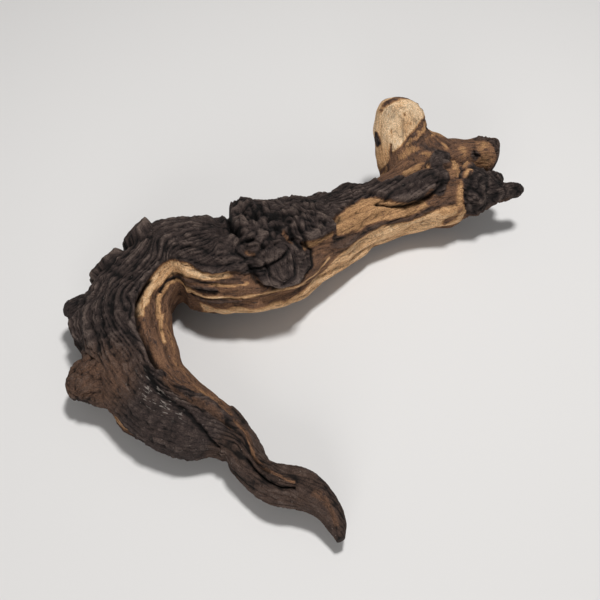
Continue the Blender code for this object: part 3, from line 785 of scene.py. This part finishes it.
def body_skin(tube, rib_row, base):
    """The body's points, paint (tone, relief and gloss), grain and count of folds.

    The fine relief follows the paint: folds, splits, crumbs and crumple in the bark, which
    stands a little proud of the wood, and fibres on the wood. The paint's relief is above zero
    on worn tops and below zero in creases. The material paints the tops paler, as wear and a
    painted highlight, and darkens the creases and furrows as painted shade.
    """
    sheet = Sheet(tube, rib_row)
    rib = rib_row[:, None] * np.ones(tube.angle.shape)
    burl, arch, smooth, gloss = (patch(name, rib, tube.angle) for name in PATCHES)
    tone = body_tone(sheet, tube)
    bark = bark_share(tone)
    large, groove = body_forms(sheet, tube, burl, arch, smooth)

    along, bend = sheet.twisted()
    ring, rule = sheet.rings()
    ruled = rule > 0.6
    grain = turned_place(along, bend, tube.reach)
    grain = np.where(ruled[..., None], turned_place(ring, 0 * ring, 0.3 * along), grain)
    phase = fold_phase(along, bend * tube.reach, tube.points, 41)
    phase = np.where(ruled, ring / CURL_PITCH + 0.7 * noise(tube.points / 8.0, 45), phase)
    crease = np.where(ruled, fold_lines(phase, RING_SHARPNESS), fold_lines(phase)) - CREASE_LEVEL
    strength = 0.6 + 0.35 * arch * (1.0 - burl) + 0.9 * noise(grain / FOLD_GAPS, 46)
    strength = np.clip(strength, 0.1, 1.3) * (1.0 - 0.7 * smooth) * (1.0 - 0.4 * burl)
    strength = mix(strength, 0.75 + 0.5 * noise(tube.points / 5.0, 49), rule)
    strength = strength * (1.0 - 0.45 * ease((rib - TAIL_FROM) / 2.0))
    split = creases(grain, 2.2 * FOLD_PITCH, 40.0, 61, 5.0)
    split = mix(split, CREASE_LEVEL, np.maximum(ruled, 0.7 * smooth)) - CREASE_LEVEL
    crumple = np.maximum(burl * (1.0 - 0.8 * rule), 0.3 * smooth) * crumpled(tube.points)
    fibre = creases(grain, FIBRE_PITCH, FIBRE_LENGTH, 15) - CREASE_LEVEL
    crumb = crumbs(tube.points)
    small = fine_relief(bark, strength * crease + 0.6 * split, crumb, crumple, fibre)
    small = thinned(tube.reach, FULL_HALF_WIDTH) * (small + BARK_THICKNESS * (bark - 0.5))
    # The relief's worn tops, which the material paints paler as wear and a painted highlight.
    worn_and_highlit = 0.25 * fold_crests(phase, tube.points) * strength + 0.7 * split + 0.3 * crumb
    relief = mix(0.45 * fibre, 0.9 * strength * crease + worn_and_highlit + 0.9 * crumple, bark)
    # Painted shade: the relief sinks in hollows of the skin and along furrows, which the material
    # darkens.
    relief = relief + 0.1 * cavity(large + small) - 0.55 * groove * mix(0.5, 1.0, bark)
    paint = np.stack([tone, relief, gloss], axis=-1)
    return base + tube.outward * (large + small)[..., None], paint, grain, phase


def cavity(height):
    """How far each point stands above its neighbourhood, in millimetres: an even average taken
    twenty steps each way along and round, subtracted."""
    wide = np.concatenate([height[:, -10:], height, height[:, :10]], axis=1).cumsum(axis=1)
    around = (wide[:, 20:] - wide[:, :-20]) / 20.0
    ends = around[:1].repeat(10, axis=0), around[-1:].repeat(10, axis=0)
    tall = np.concatenate([ends[0], around, ends[1]]).cumsum(axis=0)
    return height - (tall[20:] - tall[:-20]) / 20.0


# How each limb is painted: its tone at the root, the middle and the tip.
LIMB_TONES = {
    "paddle": (0.5, 0.5, 0.5), "saddle": (0.6, 0.55, 0.5), "blunt_knob": (0.45, 0.52, 0.26),
    "dark_burl": (0.08, 0.05, 0.1), "burl_bump": (0.05, 0.05, 0.05), "heel": (0.1, 0.18, 0.2),
    "left_knob": (0.05, 0.06, 0.06),
}


def limb_skin(name, tube, base, seed):
    """A limb's points, paint, grain and count of folds: the solid's strands and knobbles, then
    the fine skin."""
    share = np.linspace(0.0, 1.0, tube.count)[:, None] * np.ones(tube.angle.shape)
    root, middle, tip = LIMB_TONES[name]
    tone = np.where(share < 0.5, mix(root, middle, 2 * share), mix(middle, tip, 2 * share - 1))
    if name == "paddle":
        tone = paddle_tone(tone, tube)
    tone = banded(tone + 0.06 * noise(tube.turned / (6.0, 6.0, 30.0), seed + 5), tube.points)
    bark = bark_share(tone)
    large = thinned(tube.reach, FULL_HALF_WIDTH) * (
        0.5 * STRAND_DEPTH * strands(tube.turned, STRAND_PITCH, STRAND_LENGTH, seed)
        + KNOBBLE_HEIGHT * noise(tube.points / (0.7 * KNOBBLE_SIZE), seed + 2)
    )
    large = large + swellings(tube.points) + forms(tube.points)
    phase = fold_phase(tube.along, np.radians(tube.angle) * tube.reach, tube.points, seed + 7)
    crease = fold_lines(phase) - CREASE_LEVEL
    strength = np.clip(0.3 + 0.9 * noise(tube.turned / FOLD_GAPS, seed + 9), 0.05, 1.0)
    fibre = creases(tube.turned, FIBRE_PITCH, FIBRE_LENGTH, seed + 15) - CREASE_LEVEL
    crumb = crumbs(tube.points)
    crumple = 0.75 * (name in CRUMPLED_LIMBS) * crumpled(tube.points)
    small = fine_relief(bark, strength * crease, 1.3 * crumb, crumple, 0.6 * fibre)
    small = small * thinned(tube.reach, FINE_HALF_WIDTH)
    # The relief: the material paints tops paler as wear and a painted highlight, and darkens
    # creases and hollows as painted shade.
    relief = mix(0.35 * fibre, 0.9 * strength * crease + 0.35 * crumb + 0.9 * crumple, bark)
    relief = relief + 0.1 * cavity(large + small)
    paint = np.stack([tone, relief, 0 * tone], axis=-1)
    return base + tube.outward * (large + small)[..., None], paint, tube.turned, phase


def paddle_tone(tone, tube):
    """Cream above the slanting edge of the face, with bark on the back of the paddle."""
    point, way = np.asarray(FACE_EDGE[0], float), unit(np.asarray(FACE_EDGE[1], float))
    above = (tube.points - point) @ way + 1.2 * noise(tube.points / 8.0, 54)
    face = np.sin(np.radians(tube.angle))
    ragged = above + 1.5 * noise(tube.points / 3.0, 55)
    for value, start, end, edge in FACE_BANDS:
        tone = mix(tone, value, window(ragged, start, end, edge))
    tone = mix(tone, 0.93, ease(above / 2.0))
    tone = mix(tone, 0.8, ease(above / 2.0) * ease((64.0 - tube.points[..., 2]) / 12.0))
    return mix(0.12, tone, ease((face + 0.2) / 0.15))


def closed_mesh(name, rings, paint, grain, phase):
    """One closed mesh from rings of points, with a point at each end, and its attributes."""
    count, sides = rings.shape[:2]
    ends = np.stack([rings[0].mean(axis=0), rings[-1].mean(axis=0)])
    points = np.vstack([rings.reshape(-1, 3), ends])
    points[:, :2] -= MIDDLE
    points[:, 2] = np.maximum(points[:, 2] + LIFT, 0.05)
    ring, side = np.meshgrid(np.arange(count - 1), np.arange(sides), indexing="ij")
    after = (side + 1) % sides
    ahead = ring + 1
    quads = np.stack([ring * sides + side, ring * sides + after,
                      ahead * sides + after, ahead * sides + side], axis=-1).reshape(-1, 4)
    last = (count - 1) * sides
    loop = np.arange(sides)
    turned = (loop + 1) % sides
    near = np.stack([np.full(sides, count * sides), turned, loop], axis=-1)
    far = np.stack([np.full(sides, count * sides + 1), last + loop, last + turned], axis=-1)
    if signed_volume(points, np.vstack([quads[:, [0, 1, 2]], quads[:, [0, 2, 3]], near, far])) < 0:
        quads, near, far = quads[:, ::-1], near[:, ::-1], far[:, ::-1]
    mesh = bpy.data.meshes.new(name)
    mesh.from_pydata((points * MM).tolist(), [], quads.tolist() + near.tolist() + far.tolist())
    mesh.shade_smooth()
    for key, field in (("paint", paint), ("grain", grain), ("fold", phase[..., None])):
        add_attribute(mesh, key, field.reshape(-1, field.shape[-1]))
    return mesh


def add_attribute(mesh, name, values):
    """A vector or a number at each point, with the first and last again for the end points."""
    values = np.vstack([values, values[:1], values[-1:]])
    kind, part = ("FLOAT_VECTOR", "vector") if values.shape[-1] == 3 else ("FLOAT", "value")
    layer = mesh.attributes.new(name, kind, "POINT")
    layer.data.foreach_set(part, values.astype(np.float32).ravel())


def signed_volume(points, triangles):
    """The volume inside a mesh, above zero where its faces point out."""
    a, b, c = (points[triangles[:, k]] for k in range(3))
    return float(np.einsum("ij,ij->i", a, np.cross(b, c)).sum() / 6.0)


def body_sections(skin, rib, outward):
    """The body's skin cut at the sections' ribs. Each goes on under the next by a few rings, which
    sink inwards, so that no gap shows where two meet."""
    meshes = {}
    for name, (first, last) in SECTIONS.items():
        start, end = np.searchsorted(rib, (first, last))
        low, high = max(0, start - len(OVERLAP) + 1), min(len(rib), end + len(OVERLAP))
        sink = np.zeros(high - low)
        for step, drop in enumerate(OVERLAP):
            if start > 0:
                sink[start - low - step] = drop
            if end < len(rib) - 1:
                sink[min(end - low + step, high - low - 1)] = drop
        part = [field[low:high] for field in skin]
        part[0] = part[0] - outward[low:high] * sink[:, None, None]
        meshes[name] = closed_mesh(name, *part)
    return meshes


def linear(code):
    """An sRGB hex colour as linear red, green and blue, with full opacity."""
    parts = [int(code[k:k + 2], 16) / 255.0 for k in (1, 3, 5)]
    return [p / 12.92 if p <= 0.04045 else ((p + 0.055) / 1.055) ** 2.4 for p in parts] + [1.0]


def node(tree, kind, out=0, **given):
    """Adds a node, sets what it is given, and gives back one of its outputs.

    A setting has its own name, in lower case. An input is named with underscores for spaces, or
    as i0, i1 and i2 by its number, and is either set or linked.
    """
    item = tree.nodes.new("ShaderNode" + kind)
    for key, value in given.items():
        if hasattr(item, key):
            setattr(item, key, value)
            continue
        numbered = key[0] == "i" and key[1:].isdigit()
        socket = item.inputs[int(key[1:]) if numbered else key.replace("_", " ")]
        if isinstance(value, bpy.types.NodeSocket):
            tree.links.new(value, socket)
        else:
            socket.default_value = value
    return item.outputs[out]


# Weathered root wood. Bark: dull near-black, with crests painted a paler brown for wear and as a
# painted highlight. Wood: tan with brown streaks along the grain, and cream where it is bare and
# bleached.
TONE_STOPS = (
    (0.0, "#1f1918"), (0.1, "#352b28"), (0.2, "#49382f"), (0.32, "#604636"), (0.46, "#7d5b42"),
    (0.62, "#9c7651"), (0.78, "#ba9066"), (0.9, "#d2ae86"), (1.0, "#e5ceae"),
)


def tone_colour(tree, tone):
    """The wood's colour for a tone, through the stops."""
    colour = node(tree, "ValToRGB", Fac=tone)
    band = colour.node.color_ramp
    for place, _ in TONE_STOPS[2:]:
        band.elements.new(place)
    for element, (place, code) in zip(band.elements, TONE_STOPS):
        element.position = place
        element.color = linear(code)
    return colour


# Sizes in the wood's fine pattern, in millimetres: across the grain and along it.
HAIR = (0.7, 9.0)
STREAK = (3.0, 40.0)
FISSURE = (1.2, 7.0)
BARK_SWAY = (5.0, 18.0)
GRIT_SIZE = 0.9
BLOTCH_SIZE = 22.0
SPECK_SPACING = 4.5

# Fine lines of the bark, painted shade of its fine creases: how many to a fold, and how far they
# sway. Then the depth of the bump in millimetres, the colour of crests, paler for wear and as a
# painted highlight, and the colour of pale dust, which is also the painted sheen of the leg's
# shine.
LINES = 2.3
LINE_SWAY = 14.0
BUMP = 1.0
CREST = "#75655c"
DUST_AND_SHEEN = "#a89d94"


def grain_noise(tree, grain, size, detail):
    """Noise stretched along the grain."""
    scale = (1 / size[0], 1 / size[0], 1 / size[1])
    place = node(tree, "Mapping", Vector=grain, Scale=scale)
    return node(tree, "TexNoise", Vector=place, Scale=1.0, Detail=detail)


def new_material(name):
    """A material with a shader of its own, and that shader."""
    material = bpy.data.materials.new(name)
    material.use_nodes = True
    return material, material.node_tree.nodes["Principled BSDF"]


def root_material():
    """Weathered root wood: dry, dull and fibrous, with a shine only on worn spots of the leg."""
    material, shader = new_material("weathered_root_wood")
    shader.inputs["Specular IOR Level"].default_value = 0.22
    tree = material.node_tree
    paint = node(tree, "Attribute", "Vector", attribute_name="paint")
    grain = node(tree, "Attribute", "Vector", attribute_name="grain")
    place = node(tree, "TexCoord", "Object")
    parts = node(tree, "SeparateXYZ", Vector=paint).node
    tone, relief, gloss = parts.outputs
    hair = grain_noise(tree, grain, HAIR, 3.0)
    streak = grain_noise(tree, grain, STREAK, 3.0)
    fissure = grain_noise(tree, grain, FISSURE, 2.0)
    bark_sway = grain_noise(tree, grain, BARK_SWAY, 2.0)
    bark_sway = node(tree, "Math", operation="MULTIPLY", i0=bark_sway, i1=LINE_SWAY)
    phase = node(tree, "Attribute", "Fac", attribute_name="fold")
    grit = node(tree, "TexNoise", Vector=place, Scale=1 / (GRIT_SIZE * MM), Detail=3.0)
    blotch = node(tree, "TexNoise", Vector=place, Scale=1 / (BLOTCH_SIZE * MM), Detail=3.0)
    specks = node(tree, "TexVoronoi", Vector=place, Scale=1 / (SPECK_SPACING * MM))

    # The tone is made uneven by hairs, streaks and blotches, and bare wood is split by fissures.
    wood = node(tree, "MapRange", Value=tone, From_Min=0.12, From_Max=0.45)
    bare = node(tree, "MapRange", Value=tone, From_Min=0.8, From_Max=0.92, To_Min=1.0, To_Max=0.3)
    reach = node(tree, "MapRange", Value=wood, To_Min=0.05, To_Max=0.36)
    reach = node(tree, "Math", operation="MULTIPLY", i0=reach, i1=bare)
    uneven = node(tree, "Math", operation="ADD", i0=hair, i1=streak)
    uneven = node(tree, "Math", operation="MULTIPLY_ADD", i0=blotch, i1=0.5, i2=uneven)
    uneven = node(tree, "Math", operation="SUBTRACT", i0=uneven, i1=1.25)
    varied = node(tree, "Math", operation="MULTIPLY_ADD", i0=uneven, i1=reach, i2=tone)
    split = node(tree, "MapRange", Value=fissure, From_Min=0.42, From_Max=0.34, To_Max=0.26)
    split = node(tree, "Math", operation="MULTIPLY", i0=split, i1=wood)
    split = node(tree, "Math", operation="MULTIPLY", i0=split, i1=bare)
    varied = node(tree, "Math", operation="SUBTRACT", i0=varied, i1=split)
    colour = tone_colour(tree, varied)

    # High places of the bark are painted a paler brown: partly wear, partly a painted highlight.
    worn_and_highlit = node(tree, "MapRange", Value=relief, From_Min=0.1, From_Max=0.8, To_Max=0.6)
    barky = node(tree, "Math", operation="SUBTRACT", i0=1.0, i1=wood)
    worn_and_highlit = node(tree, "Math", operation="MULTIPLY", i0=worn_and_highlit, i1=barky)
    colour = node(tree, "Mix", 2, data_type="RGBA", i0=worn_and_highlit, i6=colour, i7=linear(CREST))

    # Painted shade: dark fine lines along the folds, and creases darkened by their depth; grit
    # makes the colour uneven.
    fine = node(tree, "Math", operation="MULTIPLY_ADD", i0=phase, i1=math.pi * LINES, i2=bark_sway)
    fine = node(tree, "Math", operation="SINE", i0=fine)
    fine = node(tree, "Math", operation="ABSOLUTE", i0=fine)
    fine = node(tree, "MapRange", Value=fine, From_Max=0.4, To_Min=0.6, To_Max=1.05)
    fold_shade = node(tree, "Mix", i0=barky, i2=1.0, i3=fine)
    crease = node(tree, "MapRange", Value=relief, From_Min=-0.6, From_Max=0.0,
                  To_Min=0.12, To_Max=1.05)
    gritty = node(tree, "MapRange", Value=grit, From_Min=0.34, From_Max=0.66,
                  To_Min=0.66, To_Max=1.3)
    shade = node(tree, "Math", operation="MULTIPLY", i0=fold_shade, i1=crease)
    shade = node(tree, "Math", operation="MULTIPLY", i0=shade, i1=gritty)
    colour = node(tree, "VectorMath", operation="SCALE", Vector=colour, Scale=shade)

    # Pale specks of dust, and on the leg a worn shine whose colour is made paler too, a painted
    # sheen.
    dust_and_sheen = node(tree, "MapRange", Value=specks, From_Min=0.08, From_Max=0.04)
    shiny = node(tree, "MapRange", Value=fissure, From_Min=0.60, From_Max=0.66)
    shiny = node(tree, "Math", operation="MULTIPLY", i0=shiny, i1=gloss)
    dust_and_sheen = node(tree, "Math", operation="MAXIMUM", i0=dust_and_sheen, i1=shiny)
    dust_and_sheen = node(tree, "Math", operation="MULTIPLY", i0=dust_and_sheen, i1=0.5)
    colour = node(tree, "Mix", 2, data_type="RGBA", i0=dust_and_sheen, i6=colour, i7=linear(DUST_AND_SHEEN))
    tree.links.new(colour, shader.inputs["Base Color"])

    dull = node(tree, "MapRange", Value=shiny, To_Min=0.8, To_Max=0.34)
    tree.links.new(dull, shader.inputs["Roughness"])
    height = node(tree, "Math", operation="MULTIPLY_ADD", i0=hair, i1=0.8, i2=grit)
    height = node(tree, "Math", operation="MULTIPLY_ADD", i0=fold_shade, i1=0.9, i2=height)
    bump = node(tree, "Bump", Strength=0.9, Distance=BUMP * MM, Height=height)
    tree.links.new(bump, shader.inputs["Normal"])
    return material


def plain_material(name, code, roughness):
    """A plain even finish."""
    material, shader = new_material(name)
    shader.inputs["Base Color"].default_value = linear(code)
    shader.inputs["Roughness"].default_value = roughness
    return material


def add_object(data, material=None):
    """An object at the origin for a camera, a light, or a finished mesh with its material."""
    item = bpy.data.objects.new(data.name, data)
    bpy.context.scene.collection.objects.link(item)
    if material:
        data.materials.append(material)
    return item


def build_root():
    """The root's body in its sections, and its limbs, all in the one wood."""
    wood = root_material()
    body, rib = body_tube()
    limbs = {name: limb_tube(name) for name in LIMBS}
    skin = body_skin(body, rib, filleted(body, list(limbs.values())))
    pieces = body_sections(skin, rib, body.outward)
    for seed, (name, tube) in enumerate(limbs.items()):
        others = [body] + [limb for key, limb in limbs.items() if key != name]
        skin = limb_skin(name, tube, filleted(tube, others), 10 * seed + 20)
        pieces[name] = closed_mesh(name, *skin)
    for name, mesh in pieces.items():
        piece = add_object(mesh, wood)
        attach(piece, "root")
        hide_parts("dry_root")


FLOOR_SIZE = 3.0
FLOOR = "#dcdad8"


def build_floor():
    """A plain pale floor, level with the root's lowest points."""
    half = FLOOR_SIZE / 2
    mesh = bpy.data.meshes.new("floor")
    corners = [(-half, -half, 0), (half, -half, 0), (half, half, 0), (-half, half, 0)]
    mesh.from_pydata(corners, [], [(0, 1, 2, 3)])
    floor = add_object(mesh, plain_material("pale_floor", FLOOR, 0.95))


# The view: the camera looks along +Y, down at 50 degrees, from 0.66 m away. The lens is 50 mm.
VIEW_TILT = math.radians(50)
VIEW_DISTANCE = 0.66
VIEW_TARGET = (0.0, 0.0, 0.030)
LENS = 50.0
SENSOR = 36.0


def build_camera():
    """The camera at the photograph's angle."""
    camera = bpy.data.cameras.new("camera")
    camera.lens = LENS
    camera.sensor_width = SENSOR
    item = add_object(camera)
    item.rotation_euler = (math.pi / 2 - VIEW_TILT, 0, 0)
    item.location = (VIEW_TARGET[0] - MIDDLE[0] * MM,
                     VIEW_TARGET[1] - MIDDLE[1] * MM - VIEW_DISTANCE * math.cos(VIEW_TILT),
                     VIEW_TARGET[2] + VIEW_DISTANCE * math.sin(VIEW_TILT))
    bpy.context.scene.camera = item


# Each light: direction towards it, distance, width and power.
LIGHTS = {
    "key": ((0.11, 0.13, 0.98), 1.6, 0.24, 21.5),
    "fill": ((-0.1, -0.96, 0.26), 1.8, 1.0, 16.0),
}
SKY = 0.15


def build_lights():
    """A soft main light from the back right, a weak wide one from the front left, and grey sky."""
    for name, (way, distance, size, power) in LIGHTS.items():
        light = bpy.data.lights.new(name, "AREA")
        light.size = size
        light.energy = power
        item = add_object(light)
        way = unit(np.array(way))
        item.location = tuple(way * distance)
        item.rotation_euler = (math.acos(way[2]), 0.0, math.atan2(way[1], way[0]) + math.pi / 2)
    world = bpy.data.worlds.new("sky")
    world.use_nodes = True
    world.node_tree.nodes["Background"].inputs["Color"].default_value = (1.0, 1.0, 1.0, 1.0)
    world.node_tree.nodes["Background"].inputs["Strength"].default_value = SKY
    bpy.context.scene.world = world
    bpy.context.scene.view_settings.view_transform = "Standard"


build_root()
build_floor()
build_camera()
build_lights()
